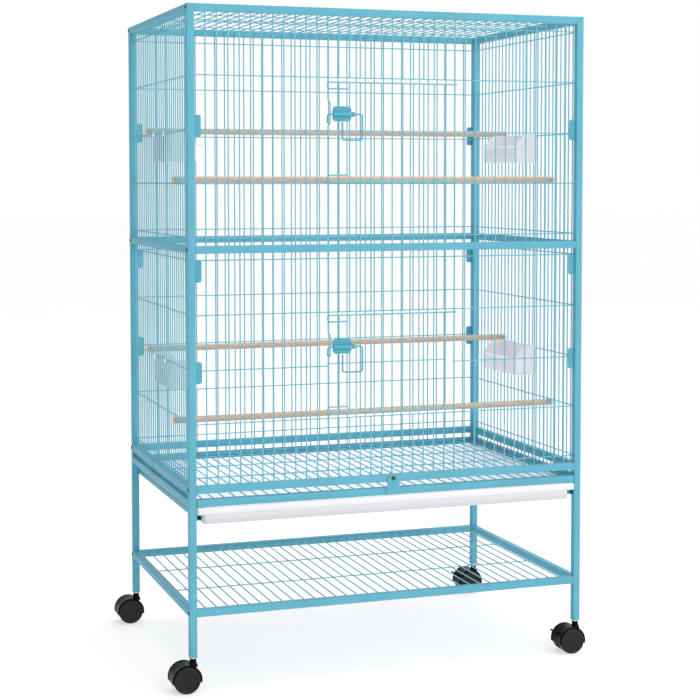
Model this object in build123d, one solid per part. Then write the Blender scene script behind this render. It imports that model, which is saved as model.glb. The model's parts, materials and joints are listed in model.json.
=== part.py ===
from build123d import *
import math
import os

# A flight cage on a wheeled stand: four square-tube posts joined by square-tube rails, wire
# panels between them, two front doors with turning latches, a slide-out tray under a wire
# grate, a wire shelf below and four twin-wheel casters. Millimetres, +Z up, +Y to the back.
# The origin is on the floor, below the middle of the box around the whole cage.

# ---- driving dimensions ------------------------------------------------------------
CAGE_WIDTH = 790.0  # over the posts
CAGE_DEPTH = 520.0
CAGE_TOP = 1249.0
TUBE = 14.0  # square tube of the posts and rails
TUBE_WALL = 1.0
POST_FOOT = 62.0  # underside of the posts
SHELF_Z = 136.0  # undersides of the rails, from the lowest up
BASE_Z = 338.0
LOWER_Z = 362.5
MIDDLE_Z = 799.5
TOP_Z = CAGE_TOP - TUBE

WIRE = 2.5  # upright panel wires
CROSS_WIRE = 2.2  # level panel wires
SPRING_WIRE = 3.0  # door hairpins and latches
WELD_GAP = 0.02
FRONT_PITCHES = 36  # spaces between wires across the front and back
SIDE_PITCHES = 28
UPPER_ROWS = (828.0, 926.0, 1023.0, 1122.0, 1220.0)
LOWER_ROWS = (390.0, 488.0, 586.0, 687.0, 787.0)

DOOR_FIRST, DOOR_HINGE = 12, 24  # panel wires at the latch side and the hinge side
DOOR_BOTTOMS = {"upper": 929.5, "lower": 497.5}
DOOR_HEIGHT = 183.5
DOOR_MIDDLE = 93.5  # level bar above the bottom bar
HAIRPIN_DROP = 12.0
HAIRPIN_RETURN = 40.0
HINGE_LOOP_TURN = 225.0  # degrees
DOOR_OVERHANG = 2.0  # past the panel wire at the latch side
DOOR_WIRE_OVER = 1.2  # the door's wires past its top and bottom bars
LATCH_RISE = 124.5  # latch rod above the door's bottom bar
LATCH_PLATE = (37.0, 1.5, 28.0)
LATCH_PLATE_AT = 276.0  # its left edge, from the cage's left side
LATCH_HOOK_AT = 265.0
LATCH_LOOP = (294.0, 333.0)  # the two legs of the handle
LATCH_HANDLE = 47.5  # handle below the rod
CATCH_BOW = (3.0, 3.8)  # how far the catch wire bows aside and out
CATCH_SPAN = (-22.0, 27.0)  # below and above the latch rod

CASTER_TRAIL = 15.0
CASTER_NECK_D = 13.0
STEM_D = 7.6
STEM_BOTTOM = 50.2
AXLE_R = 2.5
WHEEL_R = 25.0
WHEEL_INNER_Y = 6.0
WEB_HALF = 4.0
HOOD_HALF = 20.0
HOOD_R = 28.0
HOOD_INNER_R = 25.8
WHEEL_OUTER_Y = 22.5
BRAKE_ANGLE = math.radians(150)  # up and back from the axle
BRAKE_PIVOT_R = 30.7
BRAKE_BARREL_R = 2.2
BRAKE_PIN_R = 1.0
BRAKE_TAB_HALF = 5.0
BRAKE_LUG_Y = 7.4

TRAY_BOTTOM = 306.0
TRAY_TOP = 337.3
TRAY_WALL = 2.0
RUNNER = 10.0
RUNNER_Z = 314.0
SHELF_NET = 10.0  # height of the shelf's wires in their frame
ROOF_NET = 9.0
SHELF_ROWS = (178.0, 342.0)  # level wires under the shelf's wires, from the front
ROOF_ROWS = (137.0, 260.0, 383.0)
PERCH_D = 12.0
FEEDER_H = 58.0
FEEDER_Y = (182.0, 338.0)
FEEDER_REACH = 62.0  # front wall, from the cage's side
FEEDER_FRONT_SHARE = 0.57  # height of the low front wall
FEEDER_SLOPE = 22.0
FEEDER_LEDGE = 10.0
FEEDER_WALL = 1.8
FEEDER_HOOKS = (11.5, 16.5)  # between which side wires
LOCK_X = 395.0
LOCK_SCREW_Z = 369.5
LOCK_SCREW_D = 4.0
LOCK_FOOT = 16.0  # half the plate's width at its foot
LOCK_NECK = 12.0
CLIP = (12.5, 2.0, 40.0)
CLIP_HEIGHTS = (583.0, 767.5, 1030.0)
SCREW_HEAD = (7.0, 1.8)  # diameter and height

# ---- places worked out from them ---------------------------------------------------
X_LEFT = CASTER_TRAIL - CAGE_WIDTH / 2
X_RIGHT = X_LEFT + CAGE_WIDTH
Y_FRONT = -CAGE_DEPTH / 2
Y_BACK = CAGE_DEPTH / 2
HALF = TUBE / 2
INNER_W = CAGE_WIDTH - 2 * TUBE
INNER_D = CAGE_DEPTH - 2 * TUBE
FRONT_PITCH = INNER_W / FRONT_PITCHES
SIDE_PITCH = INNER_D / SIDE_PITCHES
CROSS_OFFSET = (WIRE + CROSS_WIRE) / 2 + WELD_GAP
POST_X = {"left": X_LEFT + HALF, "right": X_RIGHT - HALF}
POST_Y = {"front": Y_FRONT + HALF, "back": Y_BACK - HALF}
UPPER_SPAN = (MIDDLE_Z + TUBE, TOP_Z)
LOWER_SPAN = (LOWER_Z + TUBE, MIDDLE_Z)
DOOR_BAR_Y = Y_FRONT + 4.0  # hairpins, in front of the upright wires
DOOR_WIRE_Y = Y_FRONT + 6.8
HINGE_R = Y_FRONT + HALF - DOOR_BAR_Y
LATCH_Y = Y_FRONT  # latch rod


def block(x, y, z):
    """A box from its three spans."""
    size = [high - low for low, high in (x, y, z)]
    centre = [(low + high) / 2 for low, high in (x, y, z)]
    return Pos(*centre) * Box(*size)


def rod(start, end, diameter):
    """A straight round bar between two points."""
    plane = Plane(origin=start, z_dir=Vector(*end) - Vector(*start))
    length = (Vector(*end) - Vector(*start)).length
    return plane * Cylinder(diameter / 2, length, align=(Align.CENTER, Align.CENTER, Align.MIN))


def bent(path, diameter):
    """Round wire bent along a path."""
    return sweep(Plane(origin=path @ 0, z_dir=path % 0) * Circle(diameter / 2), path=path)


def upright_x(k):
    """X of the k-th upright wire across the front or back."""
    return X_LEFT + TUBE + k * FRONT_PITCH


def side_y(k):
    """Y of the k-th upright wire along a side."""
    return Y_FRONT + TUBE + k * SIDE_PITCH


# ---- frame -------------------------------------------------------------------------
def post(side, end):
    """A hollow post, closed on top and open below for its caster."""
    x, y = POST_X[side], POST_Y[end]
    bore = HALF - TUBE_WALL
    outer = block((x - HALF, x + HALF), (y - HALF, y + HALF), (POST_FOOT, CAGE_TOP))
    inside = block((x - bore, x + bore), (y - bore, y + bore), (POST_FOOT, CAGE_TOP - 2))
    return outer - inside


def hollow(x, y, z, along):
    """A tube filling three spans, open at its ends along the axis 'along' (0 or 1)."""
    spans = [x, y, z]
    cut = [(low + TUBE_WALL, high - TUBE_WALL) for low, high in spans]
    cut[along] = spans[along]
    return block(*spans) - block(*cut)


def wide_rail(z, y0):
    """A rail between two posts, left to right."""
    return hollow((X_LEFT + TUBE, X_RIGHT - TUBE), (y0, y0 + TUBE), (z, z + TUBE), 0)


def deep_rail(z, x0):
    """A rail between two posts, front to back."""
    return hollow((x0, x0 + TUBE), (Y_FRONT + TUBE, Y_BACK - TUBE), (z, z + TUBE), 1)


def side_rails(x0):
    return [deep_rail(z, x0) for z in (BASE_Z, LOWER_Z, MIDDLE_Z, TOP_Z)]


def shelf_frame():
    wide = [wide_rail(SHELF_Z, y) for y in (Y_FRONT, Y_BACK - TUBE)]
    deep = [deep_rail(SHELF_Z, x) for x in (X_LEFT, X_RIGHT - TUBE)]
    return wide + deep


def runner(side):
    """A small open-ended tube that carries one edge of the tray."""
    x0 = X_LEFT + TUBE if side == "left" else X_RIGHT - TUBE - RUNNER
    z = (RUNNER_Z, RUNNER_Z + RUNNER)
    return hollow((x0, x0 + RUNNER), (Y_FRONT + 1, Y_BACK - 1), z, 1)


# ---- wire panels -------------------------------------------------------------------
def level_net(z, rows):
    """Wires from front to back at height z, over cross wires at the depths in rows."""
    low = z - CROSS_OFFSET
    y = (Y_FRONT + TUBE, Y_BACK - TUBE)
    x = (X_LEFT + TUBE, X_RIGHT - TUBE)
    wires = [
        rod((upright_x(k), y[0], z), (upright_x(k), y[1], z), WIRE) for k in range(1, FRONT_PITCHES)
    ]
    cross = [rod((x[0], row, low), (x[1], row, low), CROSS_WIRE) for row in rows]
    return wires + cross


def back_panel(span, rows):
    """Plain upright wires with level wires on their inner side."""
    y = Y_BACK - HALF
    cross_y = y - CROSS_OFFSET
    wires = [
        rod((upright_x(k), y, span[0]), (upright_x(k), y, span[1]), WIRE)
        for k in range(1, FRONT_PITCHES)
    ]
    ends = (X_LEFT + TUBE, X_RIGHT - TUBE)
    return wires + [rod((ends[0], cross_y, z), (ends[1], cross_y, z), CROSS_WIRE) for z in rows]


def side_panel(side, span, rows):
    """The same along one side."""
    x = POST_X[side]
    cross_x = x + CROSS_OFFSET if side == "left" else x - CROSS_OFFSET
    wires = [
        rod((x, side_y(k), span[0]), (x, side_y(k), span[1]), WIRE) for k in range(1, SIDE_PITCHES)
    ]
    ends = (Y_FRONT + TUBE, Y_BACK - TUBE)
    return wires + [rod((cross_x, ends[0], z), (cross_x, ends[1], z), CROSS_WIRE) for z in rows]


def catch_wire(span, latch_z):
    """The upright wire beside the latch, which bows out of the panel behind the latch rod."""
    aside, out = CATCH_BOW
    rise, lead = 6.0, 3.0
    low, high = (latch_z + reach for reach in CATCH_SPAN)
    full = math.hypot(out, aside)
    x, y = upright_x(DOOR_FIRST), Y_FRONT + HALF
    lean = Vector(aside, -out, 0).normalized()
    base = Plane(origin=(x, y, 0), x_dir=lean, z_dir=(lean.Y, -lean.X, 0))
    points = [(0, low - lead), (0, low), (full, low + rise)]
    points += [(full, high - rise), (0, high), (0, high + lead)]
    bow = bent(base * FilletPolyline(*points, radius=4), WIRE)
    below = rod((x, y, span[0]), (x, y, low - lead), WIRE)
    above = rod((x, y, high + lead), (x, y, span[1]), WIRE)
    return [bow, below, above]


def front_panel(span, rows, door):
    """Upright and level wires around the door opening."""
    y = Y_FRONT + HALF
    cross_y = y + CROSS_OFFSET
    below = [row for row in rows if row < DOOR_BOTTOMS[door]][-1]
    above = [row for row in rows if row > DOOR_BOTTOMS[door] + DOOR_HEIGHT][0]
    solids = catch_wire(span, DOOR_BOTTOMS[door] + LATCH_RISE)
    for k in range(1, FRONT_PITCHES):
        x = upright_x(k)
        if DOOR_FIRST < k < DOOR_HINGE:
            solids.append(rod((x, y, span[0]), (x, y, below + CROSS_WIRE / 2), WIRE))
            solids.append(rod((x, y, above - CROSS_WIRE / 2), (x, y, span[1]), WIRE))
        elif k != DOOR_FIRST:
            solids.append(rod((x, y, span[0]), (x, y, span[1]), WIRE))
    ends = (X_LEFT + TUBE, X_RIGHT - TUBE)
    for z in rows:
        if below < z < above:
            latch_end = upright_x(DOOR_FIRST) + WIRE / 2
            hinge_end = upright_x(DOOR_HINGE) - WIRE / 2
            solids.append(rod((ends[0], cross_y, z), (latch_end, cross_y, z), CROSS_WIRE))
            solids.append(rod((hinge_end, cross_y, z), (ends[1], cross_y, z), CROSS_WIRE))
        else:
            solids.append(rod((ends[0], cross_y, z), (ends[1], cross_y, z), CROSS_WIRE))
    return solids


def base_wires():
    """Short wires that close the gap above the base rails at the back and sides."""
    z0, z1 = BASE_Z + TUBE, LOWER_Z
    back = Y_BACK - HALF
    wires = [
        rod((upright_x(k), back, z0), (upright_x(k), back, z1), WIRE)
        for k in range(1, FRONT_PITCHES)
    ]
    for x in POST_X.values():
        wires += [rod((x, side_y(k), z0), (x, side_y(k), z1), WIRE) for k in range(1, SIDE_PITCHES)]
    return wires


# ---- doors -------------------------------------------------------------------------
def hairpin(z, drop):
    """A door bar: it turns back on itself at the free edge and loops round the hinge wire."""
    free_x = upright_x(DOOR_FIRST) - DOOR_OVERHANG
    hinge_x = upright_x(DOOR_HINGE)
    turn_r = abs(drop) / 2
    turn_x = free_x + turn_r
    low = z + drop
    back = Line((turn_x + HAIRPIN_RETURN - turn_r, DOOR_BAR_Y, low), (turn_x, DOOR_BAR_Y, low))
    turn = ThreePointArc(
        (turn_x, DOOR_BAR_Y, low), (free_x, DOOR_BAR_Y, z + drop / 2), (turn_x, DOOR_BAR_Y, z)
    )
    bar = Line((turn_x, DOOR_BAR_Y, z), (hinge_x, DOOR_BAR_Y, z))
    loop_plane = Plane(origin=(hinge_x, Y_FRONT + HALF, z))
    loop = loop_plane * CenterArc((0, 0), HINGE_R, start_angle=-90, arc_size=HINGE_LOOP_TURN)
    path = Wire([back.edge(), turn.edge(), bar.edge(), loop.edge()])
    return bent(path, SPRING_WIRE)


def door(name):
    z0 = DOOR_BOTTOMS[name]
    z1 = z0 + DOOR_HEIGHT
    ends = (upright_x(DOOR_FIRST) - DOOR_OVERHANG, upright_x(DOOR_HINGE - 1) + WIRE / 2)
    middle = z0 + DOOR_MIDDLE
    low, high = z0 - DOOR_WIRE_OVER, z1 + DOOR_WIRE_OVER
    wires = [
        rod((upright_x(k), DOOR_WIRE_Y, low), (upright_x(k), DOOR_WIRE_Y, high), WIRE)
        for k in range(DOOR_FIRST + 1, DOOR_HINGE)
    ]
    bar_y = DOOR_WIRE_Y - CROSS_OFFSET
    bar = rod((ends[0], bar_y, middle), (ends[1], bar_y, middle), CROSS_WIRE)
    return wires + [bar, hairpin(z1, -HAIRPIN_DROP), hairpin(z0, HAIRPIN_DROP)]


def latch_plate(name):
    """A plate on the door's wires, with a round bead that the latch rod turns in."""
    z = DOOR_BOTTOMS[name] + LATCH_RISE
    wide, thick, tall = LATCH_PLATE
    x0 = X_LEFT + LATCH_PLATE_AT
    bead_end = x0 + wide + 1
    collar_end = bead_end + 3.5
    back = DOOR_WIRE_Y - WIRE / 2 - WELD_GAP
    plane = Plane(origin=(x0 + wide / 2, back, z + 1), x_dir=(1, 0, 0), z_dir=(0, -1, 0))
    plate = extrude(plane * RectangleRounded(wide, tall, 7), thick)
    bead_r, collar_r, bore_r = 3.4, 4.6, SPRING_WIRE / 2 + 0.4
    bead = rod((x0, LATCH_Y, z), (bead_end, LATCH_Y, z), 2 * bead_r)
    neck = block((x0, x0 + wide), (LATCH_Y, back - thick / 2), (z - bead_r, z + bead_r))
    collar = rod((bead_end, LATCH_Y, z), (collar_end, LATCH_Y, z), 2 * collar_r)
    bore = rod((x0 - 1, LATCH_Y, z), (collar_end + 1, LATCH_Y, z), 2 * bore_r)
    return plate + bead + neck + collar - bore


def latch(name):
    """One bent wire: a hook over the catch wire, the rod, and a hanging handle."""
    z = DOOR_BOTTOMS[name] + LATCH_RISE
    hook_x = X_LEFT + LATCH_HOOK_AT
    left_x, right_x = (X_LEFT + leg for leg in LATCH_LOOP)
    low = z - LATCH_HANDLE
    hook_end, leg_end = z - 17, z - 14.5
    plane = Plane(origin=(0, LATCH_Y, 0), x_dir=(1, 0, 0), z_dir=(0, -1, 0))
    points = [(hook_x, hook_end), (hook_x, z), (right_x, z)]
    points += [(right_x, low), (left_x, low), (left_x, leg_end)]
    return bent(plane * FilletPolyline(*points, radius=4.5), SPRING_WIRE)


# ---- base --------------------------------------------------------------------------
def grate_bar():
    """The front bar of the wire grate, with a small gap at each post."""
    x = (X_LEFT + TUBE + 1, X_RIGHT - TUBE - 1)
    return hollow(x, (Y_FRONT, Y_FRONT + TUBE), (BASE_Z, BASE_Z + TUBE), 0)


def grate_mesh():
    z = BASE_Z + HALF
    low = z - CROSS_OFFSET
    y = (Y_FRONT + TUBE, Y_BACK - TUBE - 1)
    edges = (X_LEFT + TUBE + 3, X_RIGHT - TUBE - 3)
    places = [upright_x(k) for k in range(1, FRONT_PITCHES)] + list(edges)
    wires = [rod((x, y[0], z), (x, y[1], z), WIRE) for x in places]
    rows = [y[0] + (y[1] - y[0]) * share for share in (0.25, 0.5, 0.75)]
    rows.append(y[1] - WIRE)
    return wires + [rod((edges[0], row, low), (edges[1], row, low), CROSS_WIRE) for row in rows]


def tray():
    """A shallow pan whose turned-down rim hangs on the two runners."""
    rim_x = (X_LEFT + TUBE + 1, X_RIGHT - TUBE - 1)
    pan_x = (X_LEFT + TUBE + RUNNER + 2.5, X_RIGHT - TUBE - RUNNER - 2.5)
    y = (Y_FRONT - 4, Y_BACK - TUBE - 3)
    rim_low = RUNNER_Z + RUNNER + 0.3
    t = TRAY_WALL
    pan_y = (y[0] + 3, y[1])
    pan = block(pan_x, pan_y, (TRAY_BOTTOM, TRAY_TOP))
    rim = block(rim_x, y, (rim_low, TRAY_TOP))
    under = block(
        (rim_x[0] + t, rim_x[1] - t), (y[0] + t, y[1] - t), (rim_low - 1, TRAY_TOP - t)
    )
    inside = block(
        (pan_x[0] + t, pan_x[1] - t), (pan_y[0] + t, pan_y[1] - t), (TRAY_BOTTOM + t, TRAY_TOP + 1)
    )
    return rim - under + pan - inside


def lock_plate():
    """A bell-shaped plate that hangs over the grate's front bar from one screw."""
    x = X_LEFT + LOCK_X
    plane = Plane(origin=(x, Y_FRONT - 0.2, LOCK_SCREW_Z), x_dir=(1, 0, 0), z_dir=(0, -1, 0))
    reach = LOCK_SCREW_Z - BASE_Z - 0.4
    foot_z = -math.sqrt(reach**2 - LOCK_FOOT**2)
    neck, shoulder_z, waist_z, crown_z = LOCK_NECK, -2, -12, 8
    edges = [
        ThreePointArc((-neck, shoulder_z), (0, crown_z), (neck, shoulder_z)),
        Line((neck, shoulder_z), (neck, waist_z)),
        Line((neck, waist_z), (LOCK_FOOT, foot_z)),
        ThreePointArc((LOCK_FOOT, foot_z), (0, -reach), (-LOCK_FOOT, foot_z)),
        Line((-LOCK_FOOT, foot_z), (-neck, waist_z)),
        Line((-neck, waist_z), (-neck, shoulder_z)),
    ]
    hole = Circle(LOCK_SCREW_D / 2 + 0.08)
    return extrude(plane * (make_face([line.edge() for line in edges]) - hole), 1.8)


def lock_screw():
    x = X_LEFT + LOCK_X
    z = LOCK_SCREW_Z
    shank = rod((x, Y_FRONT - 2.5, z), (x, Y_FRONT + 6, z), LOCK_SCREW_D)
    head = rod((x, Y_FRONT - 4.4, z), (x, Y_FRONT - 2.2, z), 2 * LOCK_SCREW_D)
    rim = head.edges().sort_by(Axis.Y)[0]
    return fillet(rim, 1.2) + shank


def front_lower_rail():
    """The lower front rail, drilled for the lock's screw."""
    x = X_LEFT + LOCK_X
    start, end = (x, Y_FRONT - 1, LOCK_SCREW_Z), (x, Y_FRONT + 2, LOCK_SCREW_Z)
    hole = rod(start, end, LOCK_SCREW_D + 0.1)
    return wide_rail(LOWER_Z, Y_FRONT) - hole


# ---- fittings ----------------------------------------------------------------------
def perch(y, z):
    """A dowel that passes between the side wires and rests on a level wire."""
    dowel = rod((X_LEFT + 1.5, y, z), (X_RIGHT - 1.5, y, z), PERCH_D)
    return chamfer(dowel.edges().filter_by(GeomType.CIRCLE), 0.8)


def feeder(side, top):
    """A seed cup that hangs on the side panel by two hooks."""
    wall = FEEDER_WALL
    y = (Y_FRONT + FEEDER_Y[0], Y_FRONT + FEEDER_Y[1])
    back = HALF + CROSS_OFFSET + CROSS_WIRE / 2 + 0.3
    front, over = FEEDER_REACH, FEEDER_H + 9
    low_front = FEEDER_H * FEEDER_FRONT_SHARE
    outline = [(back, 0), (front, 0), (front, low_front)]
    outline += [(front - FEEDER_SLOPE, FEEDER_H), (back, FEEDER_H)]
    inner = [(back + wall, wall), (front - wall, wall), (front - wall, over), (back + wall, over)]
    plane = Plane(origin=(0, y[1], 0), x_dir=(1, 0, 0), z_dir=(0, -1, 0))
    shell = extrude(plane * make_face(Polyline(*outline, close=True)), y[1] - y[0])
    inner_plane = Plane(origin=(0, y[1] - wall, 0), x_dir=(1, 0, 0), z_dir=(0, -1, 0))
    inner_face = make_face(Polyline(*inner, close=True))
    hole = extrude(inner_plane * inner_face, y[1] - y[0] - 2 * wall)
    ledge = block((front, front + FEEDER_LEDGE), y, (low_front - 2.4, low_front))
    cup = shell - hole + ledge
    hook_half, hook_thick, hook_drop, reach = 4.0, 1.3, 9.0, 4.3
    for k in FEEDER_HOOKS:
        hook_y = (side_y(k) - hook_half, side_y(k) + hook_half)
        arm = block((reach, back + wall), hook_y, (FEEDER_H - wall, FEEDER_H))
        tip = block((reach, reach + hook_thick), hook_y, (FEEDER_H - hook_drop, FEEDER_H))
        cup += arm + tip
    placed = Pos(X_LEFT, 0, top - FEEDER_H) * cup
    middle = Plane(origin=((X_LEFT + X_RIGHT) / 2, 0, 0), z_dir=(1, 0, 0))
    return placed if side == "left" else mirror(placed, about=middle)


def panel_clips():
    """Plates on the posts that hold the ends of the level wires."""
    wide, thick, tall = CLIP
    clips = []
    for inner, way in ((X_LEFT + TUBE, 1), (X_RIGHT - TUBE, -1)):
        for face, turn in ((Y_FRONT + 5.5, 1), (Y_BACK - 5.5, -1)):
            for z in CLIP_HEIGHTS:
                clip = block(
                    sorted((inner, inner + way * wide)),
                    sorted((face, face + turn * thick)),
                    (z - tall / 2, z + tall / 2),
                )
                outer = clip.faces().sort_by(Axis.X)[-1 if way > 0 else 0]
                clips.append(fillet(outer.edges().filter_by(Axis.Y), 4.5))
    return clips


def frame_screws():
    """Round heads on the outer sides of the posts, one at each rail."""
    diameter, high = SCREW_HEAD
    heads = []
    for x, way in ((X_LEFT, -1), (X_RIGHT, 1)):
        for y in POST_Y.values():
            for rail in (SHELF_Z, LOWER_Z, MIDDLE_Z, TOP_Z):
                z = rail + HALF
                head = rod((x, y, z), (x + way * high, y, z), diameter)
                rim = head.edges().filter_by(GeomType.CIRCLE).sort_by(Axis.X)[0 if way < 0 else -1]
                heads.append(fillet(rim, 1.2))
    return heads


# ---- casters -----------------------------------------------------------------------
def about_axle(radius, half_width, x, y):
    """A cylinder on the caster's axle."""
    return rod((x, y - half_width, WHEEL_R), (x, y + half_width, WHEEL_R), 2 * radius)


def caster_stems():
    """In each post: a square plug, a flange under the post and a round stem."""
    stems = []
    plug = HALF - TUBE_WALL - 0.1
    for x in POST_X.values():
        for y in POST_Y.values():
            core = block((x - plug, x + plug), (y - plug, y + plug), (POST_FOOT, POST_FOOT + 16))
            flange = rod((x, y, POST_FOOT - 2), (x, y, POST_FOOT), CASTER_NECK_D)
            stem = rod((x, y, STEM_BOTTOM), (x, y, POST_FOOT), STEM_D)
            stems.append(core + flange + stem)
    return stems


def caster_housing(side, end):
    """The swivelling body: a neck on the stem, a hood over both wheels and a web between them."""
    x, y = POST_X[side], POST_Y[end]
    axle_x = x - CASTER_TRAIL
    clear = about_axle(HOOD_INNER_R, 2 * WHEEL_OUTER_Y, axle_x, y)
    neck = rod((x, y, 44), (x, y, POST_FOOT - 2.3), CASTER_NECK_D) - clear
    ring = about_axle(HOOD_R, HOOD_HALF, axle_x, y) - clear
    web = about_axle(HOOD_INNER_R + 1, WEB_HALF, axle_x, y)
    span = ((axle_x - 40, axle_x + 40), (y - 30, y + 30), (WHEEL_R - 6, 90))
    above = block(*span)
    body = (ring & above) + (web & above) + neck
    if side == "right":
        for lug in brake_lugs(end):
            body += lug
    axle_bore = about_axle(AXLE_R + 0.08, WEB_HALF + 1, axle_x, y)
    stem_bore = rod((x, y, STEM_BOTTOM - 0.2), (x, y, POST_FOOT), STEM_D + 0.2)
    return body - axle_bore - stem_bore


def caster_wheels(side, end):
    """Two wheels on one axle."""
    axle_x, y = POST_X[side] - CASTER_TRAIL, POST_Y[end]
    wheels = [about_axle(AXLE_R, WHEEL_INNER_Y, axle_x, y)]
    for way in (-1, 1):
        ends = sorted((y + way * WHEEL_INNER_Y, y + way * WHEEL_OUTER_Y))
        wheel = rod((axle_x, ends[0], WHEEL_R), (axle_x, ends[1], WHEEL_R), 2 * WHEEL_R)
        rims = wheel.edges().filter_by(GeomType.CIRCLE).sort_by(Axis.Y)
        rim = rims[0 if way < 0 else -1]
        wheels.append(fillet(rim, 3.0))
    return wheels


def brake_pivot(end):
    """Where a brake lever turns: a plane on the hood with X pointing out along the lever."""
    out = Vector(math.cos(BRAKE_ANGLE), 0, math.sin(BRAKE_ANGLE))
    axle = Vector(POST_X["right"] - CASTER_TRAIL, POST_Y[end], WHEEL_R)
    return Plane(origin=axle + out * BRAKE_PIVOT_R, x_dir=out, z_dir=(0, -1, 0))


def brake(end):
    """A foot lever that turns between two lugs on the hood."""
    plane = brake_pivot(end)
    barrel = Cylinder(BRAKE_BARREL_R, 2 * BRAKE_TAB_HALF)
    pin = Cylinder(BRAKE_PIN_R, 2 * BRAKE_LUG_Y)
    tab = Pos(6.5, 0, 0) * Box(13, 3.6, 2 * BRAKE_TAB_HALF)
    tip = tab.edges().filter_by(Axis.Y).group_by(Axis.X)[-1]
    return plane * (fillet(tip, 3.0) + barrel + pin)


def brake_lugs(end):
    """Two ears on the hood, bored for the brake's pin."""
    thick = 2.0
    bore = Cylinder(BRAKE_PIN_R + 0.06, 4 * BRAKE_LUG_Y)
    ears = [
        Pos(-1.2, 0, way * (BRAKE_LUG_Y - thick / 2)) * Box(5.4, 4.4, thick) - bore
        for way in (-1, 1)
    ]
    return [brake_pivot(end) * ear for ear in ears]


# ---- nodes -------------------------------------------------------------------------
nodes = {
    "front_top_rail": wide_rail(TOP_Z, Y_FRONT),
    "front_middle_rail": wide_rail(MIDDLE_Z, Y_FRONT),
    "front_lower_rail": front_lower_rail(),
    "back_top_rail": wide_rail(TOP_Z, Y_BACK - TUBE),
    "back_middle_rail": wide_rail(MIDDLE_Z, Y_BACK - TUBE),
    "back_lower_rail": wide_rail(LOWER_Z, Y_BACK - TUBE),
    "back_base_rail": wide_rail(BASE_Z, Y_BACK - TUBE),
    "left_side_rails": side_rails(X_LEFT),
    "right_side_rails": side_rails(X_RIGHT - TUBE),
    "shelf_frame": shelf_frame(),
    "shelf_mesh": level_net(SHELF_Z + SHELF_NET, [Y_FRONT + row for row in SHELF_ROWS]),
    "roof_mesh": level_net(TOP_Z + ROOF_NET, [Y_FRONT + row for row in ROOF_ROWS]),
    "base_wires": base_wires(),
    "grate_bar": grate_bar(),
    "grate_mesh": grate_mesh(),
    "tray": tray(),
    "lock_plate": lock_plate(),
    "lock_screw": lock_screw(),
    "panel_clips": panel_clips(),
    "frame_screws": frame_screws(),
    "caster_stems": caster_stems(),
}
for level, span, rows in (("upper", UPPER_SPAN, UPPER_ROWS), ("lower", LOWER_SPAN, LOWER_ROWS)):
    nodes[f"front_{level}_mesh"] = front_panel(span, rows, level)
    nodes[f"back_{level}_mesh"] = back_panel(span, rows)
    nodes[f"left_{level}_mesh"] = side_panel("left", span, rows)
    nodes[f"right_{level}_mesh"] = side_panel("right", span, rows)
    nodes[f"{level}_door"] = door(level)
    nodes[f"{level}_latch_plate"] = latch_plate(level)
    nodes[f"{level}_latch"] = latch(level)
REST = CROSS_WIRE / 2 + PERCH_D / 2 + 0.1  # perch centre above the wire that carries it
FRONT_PERCH_Y, BACK_PERCH_Y = side_y(6.5), side_y(19.5)
nodes["upper_front_perch"] = perch(FRONT_PERCH_Y, UPPER_ROWS[1] + REST)
nodes["upper_back_perch"] = perch(BACK_PERCH_Y, UPPER_ROWS[2] + REST)
nodes["lower_front_perch"] = perch(FRONT_PERCH_Y, LOWER_ROWS[1] - REST)
nodes["lower_back_perch"] = perch(BACK_PERCH_Y, LOWER_ROWS[2] + REST)
for side in ("left", "right"):
    nodes[f"{side}_runner"] = runner(side)
    nodes[f"upper_{side}_feeder"] = feeder(side, UPPER_ROWS[2] + CROSS_WIRE / 2 + 2)
    nodes[f"lower_{side}_feeder"] = feeder(side, LOWER_ROWS[2] + CROSS_WIRE / 2 + 2)
    for end in ("front", "back"):
        nodes[f"{end}_{side}_post"] = post(side, end)
        nodes[f"{end}_{side}_caster"] = caster_housing(side, end)
        nodes[f"{end}_{side}_wheels"] = caster_wheels(side, end)
for end in ("front", "back"):
    nodes[f"{end}_right_brake"] = brake(end)

os.makedirs("parts", exist_ok=True)
for name, shape in nodes.items():
    pieces = shape if isinstance(shape, list) else [shape]
    solids = [solid for piece in pieces for solid in piece.solids()]
    export_step(Compound(solids), f"parts/{name}.step")
print(len(nodes), "nodes")
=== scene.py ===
# %% [markdown]
# # A flight cage on a wheeled stand
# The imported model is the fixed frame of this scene: it says where every piece is, in metres,
# with +Z up and the doors facing -Y. Every piece below is a new surface that stands for one
# or more of its nodes, takes its place from that node's box, and rides on the same body, so
# that doors, latches, tray and casters still move.

# %% Load the frame
import json
import math

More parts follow.
